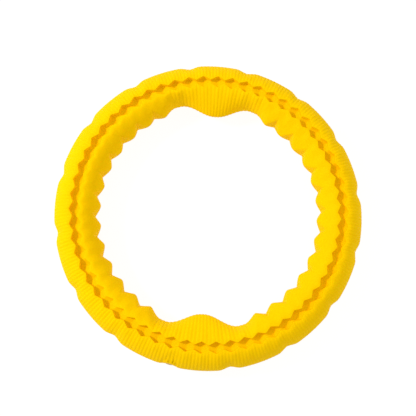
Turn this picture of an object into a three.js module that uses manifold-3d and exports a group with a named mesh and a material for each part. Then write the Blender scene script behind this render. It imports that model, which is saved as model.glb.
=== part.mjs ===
// Flying ring for lawn games: a soft, hollow throwing ring with two finger grips.
//
// Two half mouldings, front and rear, meet at the ring's middle plane with a tongue and a groove,
// and close round a float of closed-cell foam: two long arcs joined by a filler block in each grip.
// A small plug closes the vent hole, in an outer notch on the joint.
//
// Millimetres. +Z is the ring's axis and the two finger grips lie on +Y and -Y. The origin is on
// the surface that the ring lies on, under the ring's centre.

import * as THREE from "three";
import { mergeVertices } from "three/addons/utils/BufferGeometryUtils.js";
import Module from "manifold-3d";

// ---- driving dimensions ---------------------------------------------------------------------

const RING_DIAMETER = 230; // over the outer lobes
const RING_THICKNESS = 30; // between the two flat crowns
const RING_WIDTH = 34.1; // from the outer lobes to the tooth tips

const CROWN_INSET = 17.3; // from the outer lobes to the middle of the crown
const CROWN_FLAT = 11.2; // width of the flat crown, with the groove in its middle
const SLOPE_FULLNESS = 1.4; // 2 makes each slope a quarter ellipse, and less makes it flatter

const LOBE_COUNT = 16;
const NOTCH_DEPTH = 2; // between two lobes, at the middle plane; it runs out at the crown
const NOTCH_MOUTH = 18; // width where the notch leaves the lobes
const NOTCH_ROUNDNESS = 0.85; // 1 makes the notch a plain cosine, and less makes its bottom sharper

const TEETH_PER_SIDE = 13;
const TOOTH_DEPTH = 4; // from the blunt tip to the valley, at the middle plane
const TOOTH_DRAFT = 8; // degrees that each valley leans outwards, away from the middle plane
const TOOTH_BLUNTING = 0.7; // how much the sharp tip is rounded back
const GRIP_SPAN = 45; // degrees of the ring that each finger grip takes

const GRIP_BUMP = 11; // how far the middle of a grip stands in from its two hollows
const GRIP_HOLLOW_DEPTH = 4.6; // how far the hollows lie back from the tooth tips
const GRIP_HOLLOW_ANGLE = 18.5; // degrees from the grip's middle to each hollow
const GRIP_ROUNDNESS = 1.15; // 1 makes the bump a plain cosine, and more makes its middle fuller

const DIAMOND_COUNT = 58; // diamonds in the crown groove, one centred on each grip
const GROOVE_DEPTH = 4.2;
const GROOVE_NECK = 2.8; // width of the groove between two diamonds
const DIAMOND_REACH = 2.7; // how far a diamond's corner stands out from the neck

const WALL = 4.2; // behind the notches, the tooth valleys and the grip hollows
const GROOVE_FLOOR_WALL = 4.4; // between the groove's floor and the foam
const GRIP_WALL = 6; // in front of the filler in a grip's bump
const POCKET_HALF_ANGLE = 5; // degrees, of the pocket behind a grip's bump

const TONGUE_WIDTH = 1.4;
const TONGUE_HEIGHT = 1.6;

const BLOCK_HALF_ANGLE = 14; // degrees of the float's ring that half a filler block takes
const FOAM_CHAMFER = 2; // of the foam and of the cavity that it fills

const PLUG_SHANK = 4.4; // diameter
const PLUG_HEAD = 8; // diameter
const PLUG_HEAD_THICKNESS = 1.4;
const PLUG_HEAD_STANDOUT = 1.2; // how far the head's crown stands out of the notch
const PLUG_NOTCH = 7; // which notch holds the plug, counted from the +Y grip

const CLEARANCE = 0.3; // between pieces that touch

// ---- finishes -------------------------------------------------------------------------------

const softYellow = { color: 0xffd500, roughness: 0.55, metalness: 0 };
const floatFoam = { color: 0xf3efe2, roughness: 0.9, metalness: 0 };
const plugRubber = { color: 0xc79a4a, roughness: 0.6, metalness: 0 };

// ---- derived sizes --------------------------------------------------------------------------

const outerRadius = RING_DIAMETER / 2;
const tipRadius = outerRadius - RING_WIDTH;
const crownRadius = outerRadius - CROWN_INSET;
const crownOuter = crownRadius + CROWN_FLAT / 2;
const crownInner = crownRadius - CROWN_FLAT / 2;
const halfThickness = RING_THICKNESS / 2;
const notchRadius = outerRadius - NOTCH_DEPTH;
const apexRadius = tipRadius - TOOTH_BLUNTING;
const hollowRadius = tipRadius + GRIP_HOLLOW_DEPTH;
const bumpRadius = hollowRadius - GRIP_BUMP;

const toothSpan = 180 - GRIP_SPAN;
const toothPitch = toothSpan / TEETH_PER_SIDE;
const firstTip = GRIP_SPAN / 2 + toothPitch / 2; // degrees from the grip's middle
const lobePitch = 360 / LOBE_COUNT;

const cavityOuter = notchRadius - WALL;
const cavityTop = halfThickness - GROOVE_DEPTH - GROOVE_FLOOR_WALL;
const innerWallFace = Math.max(valleyRadiusAt(cavityTop), hollowRadius);
const cavityInner = innerWallFace + WALL;
const pocketInner = bumpRadius + GRIP_WALL;
const outerTongueRadius = (notchRadius + cavityOuter) / 2;
const innerTongueRadius = (innerWallFace + cavityInner) / 2;

const plugAngle = 90 + lobePitch * (PLUG_NOTCH + 0.5);

// How finely the round shapes are cut up.
const SECTIONS_PER_LOBE = 12;
const CURVE_STEPS = 4;
const VALLEY_STEPS = 3;
const ROUND_STEPS = 90;
const PLUG_STEPS = 20;
const OVERSHOOT = 2; // how far a cutter runs past what it cuts
const CUTTER_EDGE = 0.1; // degrees in which the valley cutter drops away beside a grip

// ---- solids ---------------------------------------------------------------------------------

const wasm = await Module();
wasm.setup();

const radians = THREE.MathUtils.degToRad;

/** A closed geometry as a solid that can be joined and cut. */
function solidOf(geometry) {
  const bare = geometry.index ? geometry.clone() : geometry;
  bare.deleteAttribute("normal");
  bare.deleteAttribute("uv");
  const merged = mergeVertices(bare, 1e-4);
  return new wasm.Manifold(
    new wasm.Mesh({
      numProp: 3,
      vertProperties: new Float32Array(merged.attributes.position.array),
      triVerts: new Uint32Array(merged.index.array),
    }),
  );
}

/** A solid back as a geometry with flat normals. */
function geometryOf(solid) {
  const mesh = solid.getMesh();
  const geometry = new THREE.BufferGeometry();
  geometry.setAttribute("position", new THREE.BufferAttribute(mesh.vertProperties, 3));
  geometry.setIndex(new THREE.BufferAttribute(mesh.triVerts, 1));
  geometry.computeVertexNormals();
  return geometry;
}

/** The point at a radius and an angle in degrees, in the ring's plane. */
function polar(radius, angle) {
  return new THREE.Vector2(radius * Math.cos(radians(angle)), radius * Math.sin(radians(angle)));
}

/** A shape pushed straight up from `low` to `high`. */
function prism(shape, low, high) {
  const geometry = new THREE.ExtrudeGeometry(shape, { depth: high - low, bevelEnabled: false, steps: 1 });
  geometry.translate(0, 0, low);
  return solidOf(geometry);
}

/** A flat ring between two outlines given as lists of points. */
function bandShape(outerPoints, innerPoints) {
  const shape = new THREE.Shape(outerPoints);
  shape.holes.push(new THREE.Path(innerPoints));
  return shape;
}

/** The points of a circle about the ring's axis. */
function circlePoints(radius, steps = ROUND_STEPS) {
  return Array.from({ length: steps }, (_, i) => polar(radius, (360 * i) / steps));
}

/** A square-edged ring about the axis. */
function hoop(inner, outer, low, high) {
  return prism(bandShape(circlePoints(outer), circlePoints(inner)), low, high);
}

/**
 * A section carried round the axis. `sectionAt` gives the section's [radius, height] points,
 * counter-clockwise, at an angle in degrees; an open sweep gets a flat cap at each end.
 */
function sweep(sectionAt, angles, closed) {
  const positions = [];
  const indices = [];
  for (const angle of angles) {
    for (const [radius, height] of sectionAt(angle)) {
      const point = polar(radius, angle);
      positions.push(point.x, point.y, height);
    }
  }
  const count = positions.length / 3 / angles.length;
  const columns = closed ? angles.length : angles.length - 1;
  for (let i = 0; i < columns; i += 1) {
    const here = i * count;
    const next = ((i + 1) % angles.length) * count;
    for (let j = 0; j < count; j += 1) {
      const k = (j + 1) % count;
      indices.push(here + j, next + j, here + k);
      indices.push(here + k, next + j, next + k);
    }
  }
  if (!closed) {
    const last = (angles.length - 1) * count;
    for (let j = 1; j < count - 1; j += 1) {
      indices.push(0, j, j + 1);
      indices.push(last, last + j + 1, last + j);
    }
  }
  const geometry = new THREE.BufferGeometry();
  geometry.setAttribute("position", new THREE.Float32BufferAttribute(positions, 3));
  geometry.setIndex(indices);
  return solidOf(geometry);
}

/** Evenly spaced angles from `start` to `end`, both included. */
function spread(start, end, steps) {
  return Array.from({ length: steps + 1 }, (_, i) => start + ((end - start) * i) / steps);
}

// ---- the shell ------------------------------------------------------------------------------

/** Degrees from the middle of the nearer finger grip. */
function gripDistance(angle) {
  const turned = THREE.MathUtils.euclideanModulo(angle - 90, 180);
  return Math.min(turned, 180 - turned);
}

/**
 * Outer radius at the middle plane: the lobes' circle, less a notch between each two lobes. A notch
 * is one wave of a cosine with a sharpened bottom.
 */
function outerRadiusAt(angle) {
  const turned = THREE.MathUtils.euclideanModulo(angle - 90, lobePitch) - lobePitch / 2;
  const across = radians(Math.abs(turned)) * outerRadius;
  const share = Math.min((2 * across) / NOTCH_MOUTH, 1) ** NOTCH_ROUNDNESS;
  return outerRadius - (NOTCH_DEPTH * (1 + Math.cos(Math.PI * share))) / 2;
}

/**
 * Inner radius at the middle plane, before the tooth valleys are cut: a full-bodied cosine for the
 * grip's bump, level hollows beside it, and a straight flank up to the first tooth.
 */
function innerRadiusAt(angle) {
  const away = gripDistance(angle);
  if (away < GRIP_HOLLOW_ANGLE) {
    const share = (away / GRIP_HOLLOW_ANGLE) ** GRIP_ROUNDNESS;
    return hollowRadius - (GRIP_BUMP * (1 + Math.cos(Math.PI * share))) / 2;
  }
  const flank = (away - GRIP_SPAN / 2) / (firstTip - GRIP_SPAN / 2);
  return THREE.MathUtils.lerp(hollowRadius, tipRadius, THREE.MathUtils.clamp(flank, 0, 1));
}

/** Radius of the tooth valleys at a height above the middle plane. */
function valleyRadiusAt(height) {
  return tipRadius + TOOTH_DEPTH + height * Math.tan(THREE.MathUtils.degToRad(TOOTH_DRAFT));
}

/**
 * Half of the ring's section at an angle: the outer slope, the flat crown and the inner slope. Each
 * slope is a quarter of a superellipse.
 */
function halfSection(angle) {
  const outerReach = outerRadiusAt(angle) - crownOuter;
  const innerReach = crownInner - innerRadiusAt(angle);
  const rise = halfThickness - CLEARANCE / 2;
  const slope = spread(0, Math.PI / 2, CURVE_STEPS).map((turn) => {
    const [across, up] = [Math.cos(turn), Math.sin(turn)].map((share) => Math.abs(share) ** (2 / SLOPE_FULLNESS));
    return [across, CLEARANCE / 2 + rise * up];
  });
  const outer = slope.map(([across, height]) => [crownOuter + outerReach * across, height]);
  const inner = slope.map(([across, height]) => [crownInner - innerReach * across, height]);
  return [...outer, ...inner.reverse()];
}

/** The angles at which the section is taken, evenly spaced so that each notch and grip is symmetrical. */
function sectionAngles() {
  return spread(90, 450, SECTIONS_PER_LOBE * LOBE_COUNT).slice(0, -1);
}

/**
 * What the tooth valleys are cut with: a toothed hoop. Its teeth stand at one radius at the tips and
 * lean outwards at the valleys, and it passes inside the grips.
 */
function valleyCutter() {
  const clear = bumpRadius - OVERSHOOT;
  const heights = spread(-OVERSHOOT, halfThickness + OVERSHOOT, VALLEY_STEPS);
  const radiusAt = new Map(); // for each angle, the hoop's outer radius as a function of the height
  for (const side of [0, 180]) {
    const first = side - 90 + firstTip;
    const last = side + 90 - firstTip;
    radiusAt.set(first - CUTTER_EDGE, () => clear);
    for (let i = 0; i < TEETH_PER_SIDE; i += 1) {
      radiusAt.set(first + toothPitch * i, () => apexRadius);
      if (i < TEETH_PER_SIDE - 1) {
        radiusAt.set(first + toothPitch * (i + 0.5), valleyRadiusAt);
      }
    }
    for (const angle of spread(last + CUTTER_EDGE, last + 2 * firstTip - CUTTER_EDGE, 8).slice(0, -1)) {
      radiusAt.set(angle, () => clear);
    }
  }
  const section = (angle) => [
    [clear - OVERSHOOT, heights.at(-1)],
    [clear - OVERSHOOT, heights[0]],
    ...heights.map((height) => [radiusAt.get(angle)(height), height]),
  ];
  return sweep(section, [...radiusAt.keys()], true);
}

/** The crown groove: zigzag walls whose corners face each other, which leaves a chain of diamonds. */
function grooveCutter() {
  const wall = (side) =>
    Array.from({ length: 2 * DIAMOND_COUNT }, (_, i) => {
      const reach = GROOVE_NECK / 2 + (i % 2 === 0 ? DIAMOND_REACH : 0);
      return polar(crownRadius + side * reach, 90 + (180 * i) / DIAMOND_COUNT);
    });
  return prism(bandShape(wall(1), wall(-1)), halfThickness - GROOVE_DEPTH, halfThickness + OVERSHOOT);
}

/** The hollow for the foam: a ring with cut corners and a pocket behind each grip's bump. */
function cavityCutter() {
  const section = (inner, outer) => () => [
    [inner, -OVERSHOOT],
    [outer, -OVERSHOOT],
    [outer, cavityTop - FOAM_CHAMFER],
    [outer - FOAM_CHAMFER, cavityTop],
    [inner + FOAM_CHAMFER, cavityTop],
    [inner, cavityTop - FOAM_CHAMFER],
  ];
  const round = spread(90, 450, ROUND_STEPS).slice(0, -1);
  let cavity = sweep(section(cavityInner, cavityOuter), round, true);
  for (const middle of [90, 270]) {
    const angles = spread(middle - POCKET_HALF_ANGLE, middle + POCKET_HALF_ANGLE, 4);
    cavity = cavity.add(sweep(section(pocketInner, cavityOuter - WALL), angles, false));
  }
  return cavity;
}

/** The outer seam rib is a full hoop; the inner one stops at each grip's pocket. */
function seamRibs(halfWidth, low, high) {
  const outer = hoop(outerTongueRadius - halfWidth, outerTongueRadius + halfWidth, low, high);
  const section = () => [
    [innerTongueRadius - halfWidth, low],
    [innerTongueRadius + halfWidth, low],
    [innerTongueRadius + halfWidth, high],
    [innerTongueRadius - halfWidth, high],
  ];
  const growth = THREE.MathUtils.radToDeg((halfWidth - TONGUE_WIDTH / 2) / innerTongueRadius);
  const reach = 90 - BLOCK_HALF_ANGLE + growth;
  return [0, 180].reduce(
    (ribs, side) => ribs.add(sweep(section, spread(side - reach, side + reach, ROUND_STEPS / 2), false)),
    outer,
  );
}

/** The plug's hole and the seat for its head, along the plug's own axis. */
function plugHole() {
  const seat = notchRadius - PLUG_HEAD_THICKNESS - CLEARANCE;
  const shankRadius = PLUG_SHANK / 2 + CLEARANCE;
  const headRadius = PLUG_HEAD / 2 + CLEARANCE;
  const profile = [
    [0, cavityOuter - OVERSHOOT],
    [shankRadius, cavityOuter - OVERSHOOT],
    [shankRadius, seat],
    [headRadius, seat],
    [headRadius, outerRadius + OVERSHOOT],
    [0, outerRadius + OVERSHOOT],
  ];
  return solidOf(placedPlug(profile));
}

/** A turned profile of [radius, distance from the ring's axis], laid along the plug's direction. */
function placedPlug(profile) {
  const geometry = new THREE.LatheGeometry(
    profile.map(([radius, along]) => new THREE.Vector2(radius, along)),
    PLUG_STEPS,
  );
  geometry.rotateZ(radians(plugAngle - 90));
  return geometry;
}

/** One half moulding, with its joint face at height 0 and its crown up. */
function halfShell(hasTongues) {
  const body = sweep(halfSection, sectionAngles(), true)
    .subtract(valleyCutter())
    .subtract(grooveCutter())
    .subtract(cavityCutter());
  if (hasTongues) {
    return body.add(seamRibs(TONGUE_WIDTH / 2, -TONGUE_HEIGHT, CLEARANCE));
  }
  return body.subtract(seamRibs(TONGUE_WIDTH / 2 + CLEARANCE, -OVERSHOOT, TONGUE_HEIGHT + CLEARANCE));
}

/** A shell's geometry, at its height in the ring, with the plug's hole through it. */
function shellGeometry(isFront) {
  const turn = isFront ? 0 : 180;
  const half = halfShell(isFront).rotate([0, turn, 0]);
  return geometryOf(half.subtract(plugHole()).translate([0, 0, halfThickness]));
}

// ---- the float ------------------------------------------------------------------------------

/** The foam's section: a rectangle with cut corners that fills the cavity, less a clearance. */
function foamSection(inner, outer) {
  const top = cavityTop - CLEARANCE;
  return () => [
    [inner + FOAM_CHAMFER, -top],
    [outer - FOAM_CHAMFER, -top],
    [outer, -top + FOAM_CHAMFER],
    [outer, top - FOAM_CHAMFER],
    [outer - FOAM_CHAMFER, top],
    [inner + FOAM_CHAMFER, top],
    [inner, top - FOAM_CHAMFER],
    [inner, -top + FOAM_CHAMFER],
  ];
}

/** A long foam arc about the +X side, from one filler block to the other. */
function coreGeometry() {
  const gap = THREE.MathUtils.radToDeg(CLEARANCE / cavityInner);
  const reach = 90 - BLOCK_HALF_ANGLE - gap;
  const section = foamSection(cavityInner + CLEARANCE, cavityOuter - CLEARANCE);
  return geometryOf(sweep(section, spread(-reach, reach, ROUND_STEPS / 2), false));
}

/** A filler block about the +Y side: a piece of the foam ring with a nose into the grip's bump. */
function gripBlockGeometry() {
  const gap = THREE.MathUtils.radToDeg(CLEARANCE / pocketInner);
  const noseHalf = POCKET_HALF_ANGLE - gap;
  const ring = foamSection(cavityInner + CLEARANCE, cavityOuter - CLEARANCE);
  const nose = foamSection(pocketInner + CLEARANCE, cavityOuter - WALL);
  return geometryOf(
    sweep(ring, spread(90 - BLOCK_HALF_ANGLE, 90 + BLOCK_HALF_ANGLE, 10), false).add(
      sweep(nose, spread(90 - noseHalf, 90 + noseHalf, 4), false),
    ),
  );
}

/** The vent plug: a straight shank with a low domed head in the notch. */
function plugGeometry() {
  const shankRadius = PLUG_SHANK / 2;
  const headRadius = PLUG_HEAD / 2;
  const underHead = notchRadius - PLUG_HEAD_THICKNESS;
  return placedPlug([
    [0, cavityOuter + CLEARANCE],
    [shankRadius - CLEARANCE, cavityOuter + CLEARANCE],
    [shankRadius, cavityOuter + 2 * CLEARANCE],
    [shankRadius, underHead],
    [headRadius, underHead],
    [headRadius, notchRadius - CLEARANCE],
    [headRadius * 0.7, notchRadius + PLUG_HEAD_STANDOUT * 0.6],
    [0, notchRadius + PLUG_HEAD_STANDOUT],
  ]);
}

// ---- assembly -------------------------------------------------------------------------------

/** One named piece with its own material. */
function piece(name, geometry, finish) {
  const mesh = new THREE.Mesh(geometry, new THREE.MeshStandardMaterial(finish));
  mesh.name = name;
  return mesh;
}

const ring = new THREE.Group();
ring.add(piece("front_shell", shellGeometry(true), softYellow));
ring.add(piece("rear_shell", shellGeometry(false), softYellow));

const float = new THREE.Group();
float.position.z = halfThickness;
for (const [side, turn] of [["right", 0], ["left", Math.PI]]) {
  const core = piece(`${side}_core`, coreGeometry(), floatFoam);
  core.rotation.z = turn;
  float.add(core);
}
for (const [side, turn] of [["top", 0], ["bottom", Math.PI]]) {
  const block = piece(`${side}_grip_block`, gripBlockGeometry(), floatFoam);
  block.rotation.z = turn;
  float.add(block);
}
float.add(piece("vent_plug", plugGeometry(), plugRubber));
ring.add(float);

export default ring;
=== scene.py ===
"""Looks of a soft flying ring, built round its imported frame.

The two half mouldings get skins with the fine moulded ribs, soft edges and filleted groove of the real
thing; the foam float and the vent plug inside them get finished surfaces too. Lengths are in metres.
"""

import logging
import math
from dataclasses import dataclass, field
from enum import Enum

import bpy
import numpy as np
from mathutils import Matrix, Vector


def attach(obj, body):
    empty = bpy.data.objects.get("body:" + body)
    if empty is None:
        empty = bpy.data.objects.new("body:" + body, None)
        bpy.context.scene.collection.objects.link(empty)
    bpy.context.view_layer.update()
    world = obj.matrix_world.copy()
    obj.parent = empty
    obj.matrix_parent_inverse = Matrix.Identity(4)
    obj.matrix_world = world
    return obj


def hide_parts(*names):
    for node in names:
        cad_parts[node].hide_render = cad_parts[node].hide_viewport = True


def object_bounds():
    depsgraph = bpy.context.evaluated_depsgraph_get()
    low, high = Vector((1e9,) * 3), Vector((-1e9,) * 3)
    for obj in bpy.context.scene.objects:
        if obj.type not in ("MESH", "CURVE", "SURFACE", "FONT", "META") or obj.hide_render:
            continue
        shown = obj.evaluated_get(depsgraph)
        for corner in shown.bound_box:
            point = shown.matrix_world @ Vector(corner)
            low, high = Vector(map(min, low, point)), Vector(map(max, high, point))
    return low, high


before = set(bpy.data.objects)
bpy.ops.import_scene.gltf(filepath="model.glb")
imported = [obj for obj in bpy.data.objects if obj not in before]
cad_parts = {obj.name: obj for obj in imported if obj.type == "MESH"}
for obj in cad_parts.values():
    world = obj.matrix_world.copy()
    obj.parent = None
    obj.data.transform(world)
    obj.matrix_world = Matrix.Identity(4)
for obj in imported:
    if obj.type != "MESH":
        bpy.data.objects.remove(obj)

LOG = logging.getLogger("flying_ring")
CAD_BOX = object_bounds()
BODY = "root"

MM = 0.001
TAU = 2 * math.pi
Array = np.ndarray


# ---- small helpers --------------------------------------------------------------------------------


def smooth_step(low: float, high: float, value: Array) -> Array:
    """An S-shaped ramp from 0 at `low` to 1 at `high`, which may be the smaller of the two.

    Args:
        low: where the ramp is 0.
        high: where the ramp is 1.
        value: where to read it.

    Returns:
        The ramp's height at each value.
    """
    t = np.clip((value - low) / (high - low), 0.0, 1.0)
    return t * t * (3 - 2 * t)


def soft_max(a: Array, b: Array, blend: float) -> Array:
    """The larger of two values, with the corner between them rounded.

    Where the two differ by less than `blend` the result rises above both by a parabola, at most
    a quarter of `blend`.

    Args:
        a: first value.
        b: second value.
        blend: how close the two come before the corner is rounded.

    Returns:
        The rounded maximum.
    """
    near = np.maximum(blend - np.abs(a - b), 0.0) / blend
    return np.maximum(a, b) + near * near * blend / 4


def soft_min(a: Array, b: Array, blend: float) -> Array:
    """The smaller of two values, with the corner between them rounded."""
    return -soft_max(-a, -b, blend)


def wrapped(angle: Array, period: float) -> Array:
    """The angle's signed distance from the nearest whole multiple of the period."""
    return angle - period * np.round(angle / period)


def on_circle(radius: Array, angle: Array, height: Array) -> Array:
    """Points at a radius, an angle about the ring's axis and a height, stacked on the last axis."""
    radius, angle, height = np.broadcast_arrays(radius, angle, height)
    return np.stack([radius * np.cos(angle), radius * np.sin(angle), height], axis=-1)


def linked(name: str, data: bpy.types.ID) -> bpy.types.Object:
    """A new object with this data, linked to the scene."""
    made = bpy.data.objects.new(name, data)
    bpy.context.scene.collection.objects.link(made)
    return made


class Closure(Enum):
    """Which ways a grid surface joins up with itself."""

    HOOP = "columns and rows both close, as on a tyre"
    CAPPED = "rows close, and each end is capped"


def grid_object(name: str, points: Array, closure: Closure) -> bpy.types.Object:
    """Makes a mesh object from a grid of points.

    Face (i, j) joins columns i and i + 1 with rows j and j + 1, in the order that faces outwards when
    the rows run counter-clockwise round the section as seen with the columns coming closer.

    Args:
        name: the object's name.
        points: array of columns by rows by 3.
        closure: how the grid closes.

    Returns:
        The new object, linked to the scene, with smooth shading.
    """
    columns, rows = points.shape[:2]
    index = np.arange(columns * rows).reshape(columns, rows)
    here, after = index, np.roll(index, -1, axis=0)
    if closure is Closure.CAPPED:
        here, after = index[:-1], index[1:]
    quads = np.stack([here, after, np.roll(after, -1, axis=1), np.roll(here, -1, axis=1)], axis=-1)
    faces = [quads.reshape(-1, 4)]
    vertices = points.reshape(-1, 3)
    sizes = [np.full(len(faces[0]), 4)]
    if closure is Closure.CAPPED:
        centres = np.stack([points[0].mean(axis=0), points[-1].mean(axis=0)])
        vertices = np.concatenate([vertices, centres])
        for end, centre, flip in ((index[0], columns * rows, False), (index[-1], columns * rows + 1, True)):
            fan = np.stack([end, np.roll(end, -1), np.full(rows, centre)], axis=-1)
            faces.append(fan[:, ::-1] if flip else fan)
            sizes.append(np.full(rows, 3))
    loops = np.concatenate([f.reshape(-1) for f in faces])
    totals = np.concatenate(sizes)
    mesh = bpy.data.meshes.new(name)
    mesh.vertices.add(len(vertices))
    mesh.vertices.foreach_set("co", vertices.astype(np.float32).ravel())
    mesh.loops.add(len(loops))
    mesh.loops.foreach_set("vertex_index", loops.astype(np.int32))
    mesh.polygons.add(len(totals))
    mesh.polygons.foreach_set("loop_start", (np.cumsum(totals) - totals).astype(np.int32))
    mesh.update(calc_edges=True)
    mesh.validate()
    mesh.shade_smooth()
    return linked(name, mesh)


# ---- finishes -------------------------------------------------------------------------------------


@dataclass(frozen=True)
class Grain:
    """A fine moulded grain, as bump on a finish.

    Attributes:
        size: size of one grain.
        depth: height of the grain.
        strength: how much of it shows, from 0 to 1.
    """

    size: float
    depth: float
    strength: float


@dataclass(frozen=True)
class Finish:
    """A moulded finish: base colour with a slow and a fine variation, soft gloss and a fine grain.

    Attributes:
        name: the material's name.
        colour: linear base colour where the material is thick and clean.
        shade: linear base colour where it is a little darker.
        roughness: roughness in the open.
        roughness_spread: how much the roughness wanders.
        patch: size of the slow variation.
        grain: the fine grain.
        glow: how much light travels under the surface.
        glow_reach: how far that light travels.
        shine: strength of the clear reflection, where 0.5 is that of a plain plastic.
        fine_share: how much the fine variation adds to the slow one.
        shade_at: value of the mixed variation at which the colour is all shade.
        colour_at: value at which it is all colour.
        glow_tint: how far red, green and blue travel, as shares of the reach.
    """

    name: str
    colour: tuple[float, float, float]
    shade: tuple[float, float, float]
    roughness: float
    roughness_spread: float
    patch: float
    grain: Grain
    glow: float = 0.0
    glow_reach: float = 1.0 * MM
    shine: float = 0.5
    fine_share: float = 0.35
    shade_at: float = 0.45
    colour_at: float = 0.85
    glow_tint: tuple[float, float, float] = (1.0, 0.55, 0.12)

    def material(self) -> bpy.types.Material:
        """Builds the node tree.

        Returns:
            A new material of this finish.
        """
        made = bpy.data.materials.new(self.name)
        made.use_nodes = True
        nodes, links = made.node_tree.nodes, made.node_tree.links
        nodes.clear()
        out = nodes.new("ShaderNodeOutputMaterial")
        shader = nodes.new("ShaderNodeBsdfPrincipled")
        links.new(shader.outputs["BSDF"], out.inputs["Surface"])
        place = nodes.new("ShaderNodeTexCoord").outputs["Object"]

        slow = self._noise(nodes, links, place, self.patch, detail=3.0)
        fine = self._noise(nodes, links, place, self.grain.size * 3, detail=2.0)
        mixed = nodes.new("ShaderNodeMath")
        mixed.operation = "MULTIPLY_ADD"
        mixed.inputs[1].default_value = self.fine_share
        links.new(fine, mixed.inputs[0])
        links.new(slow, mixed.inputs[2])
        ramp = nodes.new("ShaderNodeValToRGB")
        ramp.color_ramp.elements[0].position = self.shade_at
        ramp.color_ramp.elements[0].color = (*self.shade, 1.0)
        ramp.color_ramp.elements[1].position = self.colour_at
        ramp.color_ramp.elements[1].color = (*self.colour, 1.0)
        links.new(mixed.outputs[0], ramp.inputs[0])
        links.new(ramp.outputs["Color"], shader.inputs["Base Color"])

        gloss = nodes.new("ShaderNodeMapRange")
        gloss.inputs["To Min"].default_value = self.roughness - self.roughness_spread
        gloss.inputs["To Max"].default_value = self.roughness + self.roughness_spread
        links.new(slow, gloss.inputs["Value"])
        links.new(gloss.outputs["Result"], shader.inputs["Roughness"])

        bump = nodes.new("ShaderNodeBump")
        bump.inputs["Strength"].default_value = self.grain.strength
        bump.inputs["Distance"].default_value = self.grain.depth
        links.new(self._noise(nodes, links, place, self.grain.size, detail=1.0), bump.inputs["Height"])
        links.new(bump.outputs["Normal"], shader.inputs["Normal"])

        shader.inputs["Metallic"].default_value = 0.0
        shader.inputs["IOR"].default_value = 1.5
        shader.inputs["Specular IOR Level"].default_value = self.shine
        shader.inputs["Subsurface Weight"].default_value = self.glow
        shader.inputs["Subsurface Radius"].default_value = self.glow_tint
        shader.inputs["Subsurface Scale"].default_value = self.glow_reach
        return made

    @staticmethod
    def _noise(
        nodes: bpy.types.Nodes,
        links: bpy.types.NodeLinks,
        place: bpy.types.NodeSocket,
        size: float,
        detail: float,
    ) -> bpy.types.NodeSocket:
        """A noise texture whose features are about `size` across.

        Args:
            nodes: the tree's nodes.
            links: the tree's links.
            place: socket with the coordinates.
            size: feature size.
            detail: number of finer layers.

        Returns:
            The noise's value socket.
        """
        noise = nodes.new("ShaderNodeTexNoise")
        noise.inputs["Scale"].default_value = 1 / size
        noise.inputs["Detail"].default_value = detail
        links.new(place, noise.inputs["Vector"])
        return noise.outputs["Fac"]


SOFT_SHELL = Finish(
    name="soft_yellow_rubber",
    colour=(0.96, 0.585, 0.0),
    shade=(0.935, 0.56, 0.0),
    roughness=0.6,
    roughness_spread=0.06,
    patch=22 * MM,
    grain=Grain(size=0.5 * MM, depth=0.06 * MM, strength=0.5),
    glow=0.06,
    glow_reach=1.5 * MM,
    shine=0.012,
)
FLOAT_FOAM = Finish(
    name="closed_cell_foam",
    colour=(0.88, 0.84, 0.73),
    shade=(0.78, 0.72, 0.6),
    roughness=0.85,
    roughness_spread=0.08,
    patch=6 * MM,
    grain=Grain(size=0.9 * MM, depth=0.25 * MM, strength=0.8),
    glow=0.2,
    glow_reach=1.5 * MM,
)
PLUG_RUBBER = Finish(
    name="tan_plug_rubber",
    colour=(0.66, 0.42, 0.14),
    shade=(0.54, 0.33, 0.1),
    roughness=0.6,
    roughness_spread=0.1,
    patch=2.5 * MM,
    grain=Grain(size=0.3 * MM, depth=0.04 * MM, strength=0.6),
)


# ---- the ring's form ------------------------------------------------------------------------------


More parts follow.
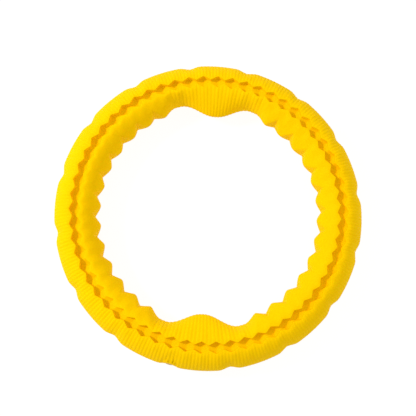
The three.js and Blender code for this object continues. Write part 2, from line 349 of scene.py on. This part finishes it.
@dataclass
class RingForm:
    """The measures that every piece of the ring shares, and the radii that follow from them.

    The outer radius, the thickness and the middle height come from the frame. Angles are about the
    ring's axis, with the finger grips at a quarter and three quarters of a turn. Heights are above the
    middle plane, which the ring is mirrored in.

    Attributes:
        crown_inset: from the outer radius in to the middle of the crown.
        slope_fullness: power of the slopes' superellipse; 1 is a straight slope, 2 an ellipse.
        notch_roundness: power that sharpens the bottom of a notch when it's below 1.
        tooth_draft: how far the valleys between the teeth lean outwards.
        tooth_blunting: how far inside the tips' radius the zigzag would come to a point.
        valley_round: how far from a valley its bottom is rounded, as a share of half a tooth.
        valley_lift: how much of that rounding is taken back again, in the same shares.
        in_grip_drop: how far the zigzag drops inwards within a grip, where it cuts nothing.
        flank_foot: how softly a grip's flank starts at the hollow, as a share of the flank.
        flank_end: how softly it ends at the first tooth.
        fade: a small angle over which the zigzag, and a pocket's sides, give way.
        pocket_half_angle: half the width of the pocket behind a grip's bump.
        block_half_angle: half the width of the foam block in a grip.
        plug_notch: which notch the plug sits in, counted from the upper grip.
    """

    ring_width: float = 34.1 * MM
    crown_inset: float = 17.3 * MM
    crown_flat: float = 11.2 * MM
    slope_fullness: float = 1.4
    lobes: int = 16
    notch_depth: float = 2 * MM
    notch_mouth: float = 18 * MM
    notch_roundness: float = 0.85
    teeth_per_side: int = 13
    tooth_depth: float = 4 * MM
    tooth_draft: float = math.radians(8)
    tooth_blunting: float = 0.7 * MM
    grip_span: float = math.radians(45)
    grip_bump: float = 11 * MM
    grip_hollow_depth: float = 4.6 * MM
    grip_hollow_angle: float = math.radians(18.5)
    grip_roundness: float = 1.15
    valley_round: float = 0.03
    valley_lift: float = 0.012
    in_grip_drop: float = 12 * MM
    flank_foot: float = 0.35
    flank_end: float = 0.25
    fade: float = 0.004
    wall: float = 4.2 * MM
    groove_depth: float = 4.2 * MM
    groove_floor_wall: float = 4.4 * MM
    grip_wall: float = 6 * MM
    pocket_half_angle: float = math.radians(5)
    block_half_angle: float = math.radians(14)
    foam_chamfer: float = 2 * MM
    plug_notch: int = 7
    clearance: float = 0.3 * MM

    outer_radius: float = field(init=False)
    half_thickness: float = field(init=False)
    middle: float = field(init=False)
    crown_radius: float = field(init=False)
    tip_radius: float = field(init=False)
    valley_radius: float = field(init=False)
    apex_radius: float = field(init=False)
    hollow_radius: float = field(init=False)
    notch_radius: float = field(init=False)
    tooth_pitch: float = field(init=False)
    first_tip: float = field(init=False)
    cavity_outer: float = field(init=False)
    cavity_inner: float = field(init=False)
    cavity_top: float = field(init=False)
    inner_wall_face: float = field(init=False)
    pocket_inner: float = field(init=False)
    plug_angle: float = field(init=False)

    def __post_init__(self) -> None:
        """Reads the overall sizes from the frame and works out the rest."""
        low, high = CAD_BOX
        self.outer_radius = (high.x - low.x) / 2
        self.half_thickness = (high.z - low.z) / 2
        self.middle = (high.z + low.z) / 2
        self.crown_radius = self.outer_radius - self.crown_inset
        self.tip_radius = self.outer_radius - self.ring_width
        self.valley_radius = self.tip_radius + self.tooth_depth
        self.apex_radius = self.tip_radius - self.tooth_blunting
        self.hollow_radius = self.tip_radius + self.grip_hollow_depth
        self.notch_radius = self.outer_radius - self.notch_depth
        self.tooth_pitch = (math.pi - self.grip_span) / self.teeth_per_side
        self.first_tip = self.grip_span / 2 + self.tooth_pitch / 2
        self.cavity_outer = self.notch_radius - self.wall
        self.cavity_top = self.half_thickness - self.groove_depth - self.groove_floor_wall
        deepest_valley = self.valley_radius + self.cavity_top * math.tan(self.tooth_draft)
        self.inner_wall_face = max(deepest_valley, self.hollow_radius)
        self.cavity_inner = self.inner_wall_face + self.wall
        self.pocket_inner = self.hollow_radius - self.grip_bump + self.grip_wall
        self.plug_angle = math.pi / 2 + TAU / self.lobes * (self.plug_notch + 0.5)

    def grip_distance(self, angle: Array) -> Array:
        """How far each angle is from the middle of the nearer finger grip."""
        return np.abs(wrapped(angle - math.pi / 2, math.pi))

    def outer_edge(self, angle: Array) -> Array:
        """Outer radius at the middle plane: the lobes' circle, less a notch between each two lobes.

        A notch is one wave of a cosine with a sharpened bottom.
        """
        pitch = TAU / self.lobes
        across = np.abs(wrapped(angle - math.pi / 2 - pitch / 2, pitch)) * self.outer_radius
        share = np.minimum(2 * across / self.notch_mouth, 1) ** self.notch_roundness
        return self.outer_radius - self.notch_depth * (1 + np.cos(np.pi * share)) / 2

    def slope(self, turn: float, reach: Array) -> tuple[float, float, Array, Array]:
        """One point of a slope, which is a quarter of a superellipse, and the slope's normal there.

        With the fullness p, the point is (cos^(2/p), sin^(2/p)) of the turn, in shares of the slope's
        reach and rise; the normal is (cos^(2-2/p) / reach, sin^(2-2/p) / rise), made one long.

        Args:
            turn: 0 at the middle plane and a quarter turn at the crown.
            reach: how far the slope reaches sideways at each column.

        Returns:
            The two shares, and the normal's parts sideways and upwards.
        """
        power = 2 / self.slope_fullness
        across, up = max(math.cos(turn), 0.0), math.sin(turn)
        sideways = across ** (2 - power) / reach
        upwards = up ** (2 - power) / self.half_thickness
        length = np.hypot(sideways, upwards)
        return across**power, up**power, sideways / length, upwards / length

    def inner_cut(self, angle: Array, height: float) -> Array:
        """Radius of the toothed outline at a height: a zigzag between the valleys and the sharp tips.

        It is a triangle wave of the angle, with its valleys a little rounded. The tips stand at one
        radius, and the valleys lean outwards with the height. The wave drops away inside the finger
        grips so that it cuts nothing there.

        Args:
            angle: the column angles.
            height: height above the middle plane.

        Returns:
            The radius at each angle.
        """
        from_side = wrapped(angle, math.pi)
        phase = np.abs(wrapped(from_side, self.tooth_pitch)) / (self.tooth_pitch / 2)
        from_valley = np.sqrt((1 - phase) ** 2 + self.valley_round**2) - self.valley_lift
        valley = self.valley_radius + height * math.tan(self.tooth_draft)
        zigzag = valley - (valley - self.apex_radius) * from_valley
        in_teeth = smooth_step(self.first_tip - self.fade, self.first_tip, self.grip_distance(angle))
        return zigzag - (1 - in_teeth) * self.in_grip_drop

    def inner_base(self, angle: Array) -> Array:
        """Inner radius at the middle plane before the valleys are cut.

        Within a grip it is a full-bodied cosine for the bump between two level hollows, and beyond
        the hollows it falls along a rounded flank to the tooth tips.
        """
        away = self.grip_distance(angle)
        share = np.minimum(away / self.grip_hollow_angle, 1) ** self.grip_roundness
        bump = self.grip_bump * (1 + np.cos(np.pi * share)) / 2
        run = (away - self.grip_span / 2) / (self.first_tip - self.grip_span / 2)
        run = soft_max(run, np.zeros_like(run), self.flank_foot)
        run = soft_min(run, np.ones_like(run), self.flank_end)
        return self.hollow_radius - bump - (self.hollow_radius - self.tip_radius) * run

    def pocket(self, angle: Array, margin: float = 0.0) -> Array:
        """1 inside the pocket behind a grip's bump and 0 outside it, with steep sides.

        Args:
            angle: where to read it.
            margin: how much narrower the pocket is taken on each side.

        Returns:
            The mask.
        """
        half = self.pocket_half_angle - margin
        return smooth_step(half + self.fade, half - self.fade, self.grip_distance(angle))


@dataclass
class Groove:
    """The zigzag groove round a crown, whose facing corners leave a chain of diamonds.

    Attributes:
        diamonds: how many diamonds go round the ring.
        neck: width between two diamonds.
        reach: how far a diamond's corner stands out beyond the neck, on each side.
        corner_round: how blunt that corner is, as a share of half a diamond.
        fillet: radius of the lip and of the foot.
        draft: how much narrower the groove is at its foot, on each side.
        scallop: how far the crown's edge draws in beside a neck.
        neck_depth: depth at a neck, as a share of the form's groove depth.
        diamond_depth: depth in the middle of a diamond, as such a share.
    """

    diamonds: int = 58
    neck: float = 2.8 * MM
    reach: float = 2.7 * MM
    corner_round: float = 0.04
    fillet: float = 0.35 * MM
    draft: float = 0.15 * MM
    scallop: float = 1.6 * MM
    neck_depth: float = 0.8
    diamond_depth: float = 1.07

    def half_width(self, angle: Array) -> Array:
        """Half the groove's width: half the neck plus a triangle wave up to the diamond's corners."""
        pitch = TAU / self.diamonds
        phase = np.abs(wrapped(angle - math.pi / 2, pitch)) / (pitch / 2)
        blunted = np.sqrt(phase**2 + self.corner_round**2) - self.corner_round
        return self.neck / 2 + self.reach * (1 - blunted)

    def opened(self, angle: Array) -> Array:
        """How far the groove has opened, from 0 at a neck to 1 at the widest part of a diamond."""
        return (self.half_width(angle) - self.neck / 2) / self.reach

    def drawn_in(self, angle: Array) -> Array:
        """How far the crown's edge draws in: nothing beside a diamond, and most at the necks."""
        return self.scallop * (1 - self.opened(angle))

    def rows(self, angle: Array, form: RingForm) -> list[tuple[Array, Array]]:
        """The groove's rows from its outer lip to its inner lip, as radii and heights.

        Each wall is a quarter-round lip, a straight side with a little draft and a rounded foot; the
        bare numbers are shares of the fillet, and of the width for the row on the floor. The floor
        rises from each diamond to the necks beside it.

        Args:
            angle: the column angles.
            form: the ring's measures.

        Returns:
            One (radius, height) pair of arrays for each row.
        """
        half = self.half_width(angle)
        top = np.full_like(half, form.half_thickness)
        share = self.neck_depth + (self.diamond_depth - self.neck_depth) * self.opened(angle)
        floor = top - form.groove_depth * share
        side = [
            (half + 1.3 * self.fillet, top),
            (half + 0.45 * self.fillet, top - 0.18 * self.fillet),
            (half, top - self.fillet),
            (half - self.draft, floor + self.fillet),
            (half - self.draft - 0.8 * self.fillet, floor),
            (half * 0.35, floor),
        ]
        outer = [(form.crown_radius + width, height) for width, height in side]
        inner = [(form.crown_radius - width, height) for width, height in reversed(side)]
        return outer + inner


@dataclass
class Ribs:
    """The fine moulded ribs that run across the rim, and across the inside of each finger grip.

    Both are whole numbers to a lobe, so that the pattern meets itself; the grips' ribs are as far
    apart along their smaller radius as the rim's are.

    Attributes:
        per_lobe: ribs to a lobe of the rim.
        grip_per_lobe: ribs in a grip, over the same angle.
        depth: depth of the furrows between the rim's ribs.
        grip_depth: depth of those in a grip.
        joint_share: how deep the rim's furrows are at the joint, as a share of their full depth.
        full_at: height at which they are full depth, as a share of the half thickness.
        narrowing: power that narrows the furrows.
        grip_fade: half the angle over which a grip's ribs fade out.
        lip: width of the smooth lip between the ribs and the groove.
    """

    per_lobe: int = 17
    grip_per_lobe: int = 13
    depth: float = 0.25 * MM
    grip_depth: float = 0.24 * MM
    joint_share: float = 0.25
    full_at: float = 0.35
    narrowing: float = 1.6
    grip_fade: float = math.radians(1.2)
    lip: float = 0.55 * MM

    def sunk(self, angle: Array, count: int) -> Array:
        """How far each point lies below the ribs' tops, from 0 to 1: round ribs, narrow furrows.

        It is half of one minus a cosine of the angle, raised to a power that narrows the furrows.

        Args:
            angle: where to read it.
            count: number of ribs round the ring.

        Returns:
            The share of the ribs' depth.
        """
        return ((1 - np.cos(count * (angle - math.pi / 2))) / 2) ** self.narrowing

    def rim(self, angle: Array, form: RingForm) -> Array:
        """How deep the surface of the rim lies below its ribs' tops."""
        return self.depth * self.sunk(angle, self.per_lobe * form.lobes)

    def rim_share(self, high: float) -> float:
        """Share of the furrows' full depth at a height, which is a share of the half thickness."""
        return self.joint_share + (1 - self.joint_share) * smooth_step(0.0, self.full_at, high)

    def grip(self, angle: Array, form: RingForm) -> Array:
        """How deep the inside of a grip lies below its ribs' tops; it is 0 on the teeth."""
        half = form.grip_span / 2
        shown = smooth_step(half + self.grip_fade, half - self.grip_fade, form.grip_distance(angle))
        return self.grip_depth * self.sunk(angle, self.grip_per_lobe * form.lobes) * shown


class Side(Enum):
    """Which half moulding a skin belongs to."""

    FRONT = 1
    REAR = -1


@dataclass
class ShellSkin:
    """One half moulding as a closed skin: rim, crown, groove, inner edge, joint face and cavity.

    The skin is a grid. Columns go round the ring, six to a rib; rows go once round the section,
    from the outer joint edge over the crown to the inner one, and back through the cavity.

    Attributes:
        curve_rows: rows up each slope.
        first_turn: where a slope's first row stands above the joint, on the slope's quarter turn.
        flat_share: where the row on the flat crown stands, from the lip to the flat's edge.
        lip_fade: power of the height by which the drawn-in edge fades down the slope.
        edge_round: rounding of the teeth at the crown.
        tip_round: rounding of the teeth at the joint.
        seam_gap: half the gap between the two halves.
        seam_round: width of the small bevel at the seam.
        tongue_half_width: half the width of a tongue on the joint face.
        tongue_height: how high a tongue stands.
        tongue_taper: width of a tongue's top, as a share of its foot.
        tongue_fade: half the angle over which a tongue runs out beside a grip.
        plug_seat: from the notch's bottom in to the shoulder of the plug's hole.
        plug_shank_radius: radius of the hole for the shank.
        plug_head_radius: radius of the hole for the head.
        plug_clear: from the plug's axis, in shank radii, where the outer tongue starts and is full.
        step_half: half the distance between the two rows that make a sharp step.
    """

    side: Side
    form: RingForm
    groove: Groove = field(default_factory=Groove)
    ribs: Ribs = field(default_factory=Ribs)
    columns_per_rib: int = 6
    curve_rows: int = 13
    first_turn: float = math.radians(1.2)
    flat_share: float = 0.4
    lip_fade: int = 5
    edge_round: float = 0.3 * MM
    tip_round: float = 0.7 * MM
    seam_gap: float = 0.05 * MM
    seam_round: float = 0.15 * MM
    tongue_half_width: float = 0.7 * MM
    tongue_height: float = 1.6 * MM
    tongue_taper: float = 0.85
    tongue_fade: float = 0.006
    plug_seat: float = 1.7 * MM
    plug_shank_radius: float = 2.5 * MM
    plug_head_radius: float = 4.2 * MM
    plug_clear: tuple[float, float] = (1.3, 2.2)
    step_half: float = 0.03 * MM
    slot: str = "soft_shell"

    @property
    def node(self) -> str:
        """The CAD node that this skin stands for."""
        return "front_shell" if self.side is Side.FRONT else "rear_shell"

    def _rim_rows(self, angle: Array) -> list[tuple[Array, Array]]:
        """The rim from the joint up to the groove's outer lip.

        The outer slope rises from the lobed edge to the flat crown. The ribs' furrows are sunk
        along the slope's own normal. They are shallow at the joint, and run on over the flat until
        just short of the groove.
        """
        form = self.form
        start = form.crown_radius + form.crown_flat / 2
        reach = form.outer_edge(angle) - start
        drawn_in = self.groove.drawn_in(angle)
        furrow = self.ribs.rim(angle, form)
        rows = []
        for turn in np.linspace(self.first_turn, math.pi / 2, self.curve_rows):
            out, high, sideways, upwards = form.slope(turn, reach)
            depth = furrow * self.ribs.rim_share(high)
            radius = start + reach * out - depth * sideways - drawn_in * high**self.lip_fade
            rows.append((radius, form.half_thickness * high - depth * upwards))
        return rows + self._flat_rows(angle, furrow, 1)

    def _inside_rows(self, angle: Array) -> list[tuple[Array, Array]]:
        """The inner edge from the groove's inner lip down to the joint.

        The inner slope reaches in to the grip or to the tooth tips, and the leaning tooth valleys
        are cut through it, with corners that are rounder towards the tips.
        """
        form = self.form
        start = form.crown_radius - form.crown_flat / 2
        reach = start - form.inner_base(angle)
        drawn_in = self.groove.drawn_in(angle)
        furrow = self.ribs.grip(angle, form)
        rows = self._flat_rows(angle, furrow, -1)[::-1]
        for turn in np.linspace(math.pi / 2, self.first_turn, self.curve_rows):
            out, high, sideways, upwards = form.slope(turn, reach)
            height = form.half_thickness * high
            corner = self.edge_round + (self.tip_round - self.edge_round) * math.cos(turn) ** 2
            slope = start - reach * out + drawn_in * high**self.lip_fade
            radius = soft_max(slope, form.inner_cut(angle, height), corner)
            rows.append((radius + furrow * sideways, height - furrow * upwards))
        return rows

    def _flat_rows(self, angle: Array, furrow: Array, outwards: int) -> list[tuple[Array, Array]]:
        """Rows on the flat crown beside the groove, from its edge towards the groove.

        Args:
            angle: the column angles.
            furrow: how deep the ribs' furrows are at each column.
            outwards: 1 for the flat outside the groove, -1 for the one inside it.

        Returns:
            The rows, from the edge of the flat to the smooth lip.
        """
        form = self.form
        edge = form.crown_flat / 2 - self.groove.drawn_in(angle)
        lip = self.groove.half_width(angle) + self.ribs.lip
        widths = [lip + (edge - lip) * self.flat_share, lip]
        return [
            (form.crown_radius + outwards * width, form.half_thickness - furrow * share)
            for width, share in zip(widths, (1.0, 0.0))
        ]

    def _joint_rows(self, centre: Array, shown: Array) -> list[tuple[Array, Array]]:
        """A seam rib on the joint face: a tongue on the front skin, its groove in the rear one.

        Args:
            centre: the rib's middle radius at each column.
            shown: 1 where the rib is and 0 where it stops.

        Returns:
            Four rows across the rib, with radii growing.
        """
        spare = 0.0 if self.side is Side.FRONT else self.form.clearance
        half = self.tongue_half_width + spare
        depth = -self.tongue_height if self.side is Side.FRONT else self.tongue_height + spare
        height = self.seam_gap + (depth - self.seam_gap) * shown
        level = np.full_like(centre, self.seam_gap)
        top = half * self.tongue_taper
        return [
            (centre - half, level),
            (centre - top, height),
            (centre + top, height),
            (centre + half, level),
        ]

    def _cavity_rows(self, angle: Array) -> list[tuple[Array, Array]]:
        """The cavity's wall, roof and wall, with rounded corners and a pocket behind each bump."""
        form = self.form
        corner = form.foam_chamfer
        inner = form.cavity_inner + (form.pocket_inner - form.cavity_inner) * form.pocket(angle)
        outer = np.full_like(angle, form.cavity_outer)
        rows = [
            (inner, self.seam_gap),
            (inner, form.cavity_top - corner),
            (inner + corner, form.cavity_top),
            (outer - corner, form.cavity_top),
            (outer, form.cavity_top - corner),
            (outer, self.seam_gap),
        ]
        return [(radius, np.full_like(angle, height)) for radius, height in rows]

    def _with_plug_hole(self, angle: Array, radius: Array, height: Array) -> Array:
        """Raises the joint face round the plug to half of its round hole.

        Over the hole the face follows a half circle of the shank's radius, or of the head's radius
        outside the seat, about the plug's axis. The rim above it is squeezed up to make room.

        Args:
            angle: column angles, as a column of the grid.
            radius: the grid's radii.
            height: the grid's heights.

        Returns:
            The new heights.
        """
        form = self.form
        across = wrapped(angle - form.plug_angle, TAU) * form.outer_radius
        seat = form.notch_radius - self.plug_seat
        round_radius = np.where(radius > seat, self.plug_head_radius, self.plug_shank_radius)
        hole = np.sqrt(np.maximum(round_radius**2 - across**2, 0.0))
        near = (radius > form.cavity_outer - self.step_half) & (hole > 0)
        room = form.half_thickness
        squeezed = hole + height * (room - hole) / room
        return np.where(near & (height < room) & (height >= 0), squeezed, height)

    def points(self) -> Array:
        """The whole grid of points, columns by rows by 3, at its height in the ring."""
        form = self.form
        count = self.columns_per_rib * self.ribs.per_lobe * form.lobes
        angle = np.arange(count) * TAU / count
        near, clear = self.plug_clear
        near_plug = smooth_step(
            clear * self.plug_shank_radius,
            near * self.plug_shank_radius,
            np.abs(wrapped(angle - form.plug_angle, TAU)) * form.outer_radius,
        )
        outer = self._rim_rows(angle)
        inner = self._inside_rows(angle)
        level = np.full_like(angle, self.seam_gap)
        pocket = form.pocket(angle)
        rim_middle = (inner[-1][0] + form.pocket_inner) / 2
        inner_joint = (form.inner_wall_face + form.cavity_inner) / 2
        inner_joint = inner_joint + (rim_middle - inner_joint) * pocket
        outer_joint = np.full_like(angle, (form.notch_radius + form.cavity_outer) / 2)
        seat = form.notch_radius - self.plug_seat
        in_float = smooth_step(
            form.block_half_angle - self.tongue_fade,
            form.block_half_angle + self.tongue_fade,
            form.grip_distance(angle),
        )
        rows = [(outer[0][0] - self.seam_round, level)]
        rows += outer
        rows += self.groove.rows(angle, form)
        rows += inner
        rows += [(inner[-1][0] + self.seam_round, level)]
        rows += self._joint_rows(inner_joint, in_float)
        rows += self._cavity_rows(angle)
        rows += self._joint_rows(outer_joint, 1 - near_plug)
        rows += [(np.full_like(angle, seat + step), level) for step in (-self.step_half, self.step_half)]
        radius = np.stack([r for r, _ in rows], axis=1)
        height = np.stack([h for _, h in rows], axis=1)
        height = self._with_plug_hole(angle[:, None], radius, height)
        return on_circle(radius, angle[:, None], form.middle + self.side.value * height)

    def build(self) -> bpy.types.Object:
        """Makes the skin and puts it in the CAD shell's place.

        Returns:
            The skin's object.
        """
        points = self.points()
        if self.side is Side.REAR:
            points = points[:, ::-1]
        name = "front_skin" if self.side is Side.FRONT else "rear_skin"
        skin = grid_object(name, points, Closure.HOOP)
        return dressed(skin, self.node, SOFT_SHELL)


# ---- the float and the plug -----------------------------------------------------------------------


@dataclass
class FoamFloat:
    """The closed-cell foam inside the ring: two long arcs, and a filler block in each grip.

    Attributes:
        edge: radius of the long edges.
        edge_rows: rows round each edge.
        sink: how far the faces draw in between a piece's ends.
        core_columns: columns along an arc.
        block_columns: columns along a block.
    """

    form: RingForm
    edge: float = 3 * MM
    edge_rows: int = 5
    sink: float = 0.12 * MM
    core_columns: int = 181
    block_columns: int = 161
    slot: str = "float_foam"

    def _section(self, inner: Array, outer: Array, sunk: Array) -> tuple[Array, Array]:
        """A rounded rectangle between two radii, as radii and heights about the middle plane.

        Each corner is a quarter circle.

        Args:
            inner: inner radius at each column.
            outer: outer radius at each column.
            sunk: how far the faces draw in at each column.

        Returns:
            Radii and heights, columns by rows.
        """
        top = self.form.cavity_top - self.form.clearance
        quarter = np.linspace(0, math.pi / 2, self.edge_rows)
        turns = np.concatenate([start * math.pi / 2 + quarter for start in (-1, 0, 1, 2)])
        right = np.repeat([True, True, False, False], self.edge_rows)
        upper = np.repeat([-1, 1, 1, -1], self.edge_rows)
        inset = self.edge + sunk[:, None]
        centre = np.where(right, outer[:, None] - inset, inner[:, None] + inset)
        radius = centre + self.edge * np.cos(turns)
        height = upper * (top - inset) + self.edge * np.sin(turns)
        return radius, height

    def _build(self, name: str, node: str, angle: Array, inner: Array) -> bpy.types.Object:
        """Makes one foam piece, whose faces draw in a little between its ends.

        Args:
            name: the piece's name.
            node: the CAD node that it stands for.
            angle: the column angles.
            inner: inner radius at each column.

        Returns:
            The piece's object.
        """
        form = self.form
        along = np.linspace(-1, 1, len(angle))
        outer = np.full_like(angle, form.cavity_outer - form.clearance)
        radius, height = self._section(inner, outer, self.sink * (1 - along**8))
        points = on_circle(radius, angle[:, None], form.middle + height)[:, ::-1]
        return dressed(grid_object(name, points, Closure.CAPPED), node, FLOAT_FOAM)

    def build_core(self, name: str, node: str, middle: float) -> bpy.types.Object:
        """Makes one long arc of the float, whose middle is at the angle `middle`."""
        form = self.form
        gap = form.clearance / form.cavity_inner
        reach = math.pi / 2 - form.block_half_angle - gap
        angle = middle + np.linspace(-reach, reach, self.core_columns)
        inner = np.full_like(angle, form.cavity_inner + form.clearance)
        return self._build(name, node, angle, inner)

    def build_filler(self, name: str, node: str, middle: float) -> bpy.types.Object:
        """Makes the filler of the grip at the angle `middle`, with its nose in the bump's pocket."""
        form = self.form
        gap = form.clearance / form.pocket_inner
        reach = form.block_half_angle
        angle = middle + np.linspace(-reach, reach, self.block_columns)
        nose = form.pocket(angle, margin=gap + form.fade)
        inner = form.cavity_inner + (form.pocket_inner - form.cavity_inner) * nose + form.clearance
        return self._build(name, node, angle, inner)


@dataclass
class VentPlug:
    """The small plug in the vent hole, lying radially on the joint with its head in a notch.

    Attributes:
        head_thickness: from the head's underside to the notch's bottom.
        standout: how far the dome rises above the notch's bottom.
        tip_share: radius of the first row on the shank's end, as a share of the shank's.
        tip_bevel: bevel at the shank's end.
        neck_round: fillet between the shank and the head.
        head_round: rounding of the head's underside.
        dome_rows: rows over the dome, with its middle.
        around: columns round the plug.
    """

    form: RingForm
    shank_radius: float = 2.2 * MM
    head_radius: float = 4 * MM
    head_thickness: float = 1.4 * MM
    standout: float = 1.2 * MM
    tip_share: float = 0.3
    tip_bevel: float = 0.3 * MM
    neck_round: float = 0.1 * MM
    head_round: float = 0.15 * MM
    dome_rows: int = 9
    around: int = 48
    slot: str = "plug_rubber"

    def _profile(self) -> Array:
        """The turned outline as (radius, distance from the ring's axis): shank, head and low dome."""
        form = self.form
        start = form.cavity_outer + form.clearance
        under = form.notch_radius - self.head_thickness
        edge = form.notch_radius - form.clearance
        dome = [
            (self.head_radius * math.cos(turn), edge + (self.standout + form.clearance) * math.sin(turn))
            for turn in np.linspace(0, math.pi / 2, self.dome_rows)[:-1]
        ]
        shank = [
            (self.tip_share * self.shank_radius, start),
            (self.shank_radius - self.tip_bevel, start),
            (self.shank_radius, start + self.tip_bevel),
            (self.shank_radius, under - self.neck_round),
            (self.shank_radius + self.neck_round, under),
            (self.head_radius - self.head_round, under),
            (self.head_radius, under + self.head_round),
        ]
        return np.array(shank + dome)

    def build(self) -> bpy.types.Object:
        """Turns the outline about the plug's axis and lays it in its notch.

        Returns:
            The plug's object.
        """
        profile = self._profile()
        turn = np.arange(self.around) * TAU / self.around
        out = np.array([math.cos(self.form.plug_angle), math.sin(self.form.plug_angle), 0.0])
        side = np.array([-out[1], out[0], 0.0])
        up = np.array([0.0, 0.0, 1.0])
        ring = np.cos(turn)[:, None] * side + np.sin(turn)[:, None] * up
        points = profile[:, None, 1:] * out + profile[:, None, :1] * ring[None]
        points += up * self.form.middle
        plug = grid_object("vent_stopper", points[:, ::-1], Closure.CAPPED)
        return dressed(plug, "vent_plug", PLUG_RUBBER)


def dressed(piece: bpy.types.Object, node: str, finish: Finish) -> bpy.types.Object:
    """Gives a piece its finish and its body, and hides the CAD node that it stands for.

    Args:
        piece: the new piece.
        node: the CAD node that it replaces.
        finish: its finish.

    Returns:
        The same piece.
    """
    material = bpy.data.materials.get(finish.name) or finish.material()
    piece.data.materials.append(material)
    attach(piece, BODY)
    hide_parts(node)
    LOG.info("%s: %d vertices, stands for %s", piece.name, len(piece.data.vertices), node)
    return piece


# ---- studio ---------------------------------------------------------------------------------------


@dataclass(frozen=True)
class Lamp:
    """A round soft lamp that faces the ring.

    Attributes:
        name: the lamp's name.
        angle: where it stands round the ring.
        height: how high it stands, as an angle above the floor.
        size: its diameter.
        power: its power in watts.
        distance: how far it stands from the ring's middle.
    """

    name: str
    angle: float
    height: float
    size: float
    power: float
    distance: float = 1.1

    def build(self) -> None:
        """Makes the lamp and links it."""
        lamp = bpy.data.lights.new(self.name, "AREA")
        lamp.shape = "DISK"
        lamp.size = self.size
        lamp.energy = self.power
        placed = linked(self.name, lamp)
        direction = Vector(on_circle(math.cos(self.height), self.angle, math.sin(self.height)))
        placed.location = direction * self.distance
        placed.rotation_euler = direction.to_track_quat("Z", "Y").to_euler()


@dataclass
class Studio:
    """White floor, soft light from the left and a camera almost straight above the ring.

    Attributes:
        tilt: how far the camera stands from straight above.
        lean: direction round the ring in which the tilted camera looks.
        image_up: direction round the ring that is up in the picture.
        distance: from the camera to the ring's middle.
        lens: focal length in millimetres, for the sensor's width.
        aim_up: how far above the ring's middle the camera aims, in the picture.
        aim_right: how far to the right of it.
        key: the main lamp.
        fill: the lamp on the shaded side.
        sky: brightness of the even sky.
        floor_half: half the floor's width.
        floor_grey: the floor's base colour.
        floor_glow: the floor's own light, which keeps it white.
    """

    form: RingForm
    tilt: float = math.radians(8.5)
    lean: float = math.radians(78.5)
    image_up: float = math.radians(93.6)
    distance: float = 480 * MM
    lens: float = 55.5
    sensor: float = 36.0
    aim_up: float = 4.0 * MM
    aim_right: float = -0.95 * MM
    key: Lamp = Lamp("key_lamp", math.radians(168), math.radians(43), size=0.16, power=6.8)
    fill: Lamp = Lamp("fill_lamp", math.radians(30), math.radians(32), size=0.5, power=1.2)
    sky: float = 0.7
    floor_half: float = 3.0
    floor_grey: float = 0.1
    floor_glow: float = 0.92

    def build(self) -> None:
        """Makes the floor, the lights and the camera."""
        self._floor()
        self._lights()
        self._camera()

    def _floor(self) -> None:
        """A large white floor under the ring."""
        half = self.floor_half
        mesh = bpy.data.meshes.new("floor")
        corners = [(-half, -half, 0), (half, -half, 0), (half, half, 0), (-half, half, 0)]
        mesh.from_pydata(corners, [], [(0, 1, 2, 3)])
        floor = linked("floor", mesh)
        material = bpy.data.materials.new("studio_white")
        material.use_nodes = True
        shader = material.node_tree.nodes["Principled BSDF"]
        shader.inputs["Base Color"].default_value = (self.floor_grey, self.floor_grey, self.floor_grey, 1)
        shader.inputs["Roughness"].default_value = 0.9
        shader.inputs["Emission Color"].default_value = (1, 1, 1, 1)
        shader.inputs["Emission Strength"].default_value = self.floor_glow
        mesh.materials.append(material)

    def _lights(self) -> None:
        """An even white sky and the two lamps."""
        world = bpy.data.worlds.new("studio_sky")
        world.use_nodes = True
        background = world.node_tree.nodes["Background"]
        background.inputs["Color"].default_value = (1, 1, 1, 1)
        background.inputs["Strength"].default_value = self.sky
        bpy.context.scene.world = world
        self.key.build()
        self.fill.build()

    def _camera(self) -> None:
        """The camera: leaned back from straight above, and rolled so that the ring sits a little turned."""
        data = bpy.data.cameras.new("camera")
        data.lens = self.lens
        data.sensor_width = self.sensor
        camera = linked("camera", data)
        centre = Vector((0, 0, self.form.middle))
        offset = on_circle(-math.sin(self.tilt), self.lean, math.cos(self.tilt))
        place = centre + Vector(offset) * self.distance
        up_hint = Vector(on_circle(1.0, self.image_up, 0.0))
        right, up, _ = view_axes(centre - place, up_hint)
        target = centre + up * self.aim_up + right * self.aim_right
        camera.matrix_world = matrix_from_axes(*view_axes(target - place, up_hint), place)
        bpy.context.scene.camera = camera
        bpy.context.scene.view_settings.view_transform = "Standard"


def view_axes(towards: Vector, up_hint: Vector) -> tuple[Vector, Vector, Vector]:
    """The right, up and backward axes of a view.

    Args:
        towards: from the camera to what it looks at.
        up_hint: roughly upwards in the picture.

    Returns:
        Three unit axes.
    """
    forward = towards.normalized()
    right = forward.cross(up_hint).normalized()
    return right, right.cross(forward), -forward


def matrix_from_axes(x: Vector, y: Vector, z: Vector, place: Vector) -> Matrix:
    """A placement matrix from three axes and a place.

    Args:
        x: first axis.
        y: second axis.
        z: third axis.
        place: the origin's place.

    Returns:
        A 4 by 4 matrix.
    """
    matrix = Matrix((x, y, z)).transposed().to_4x4()
    matrix.translation = place
    return matrix


def main() -> None:
    """Builds the studio and then each sub-assembly."""
    logging.basicConfig(level=logging.INFO, format="%(name)s: %(message)s")
    form = RingForm()
    Studio(form).build()
    ShellSkin(Side.FRONT, form).build()
    ShellSkin(Side.REAR, form).build()
    foam = FoamFloat(form)
    foam.build_core("right_float", "right_core", 0.0)
    foam.build_core("left_float", "left_core", math.pi)
    foam.build_filler("top_filler", "top_grip_block", math.pi / 2)
    foam.build_filler("bottom_filler", "bottom_grip_block", -math.pi / 2)
    VentPlug(form).build()


if __name__ == "__main__":
    main()
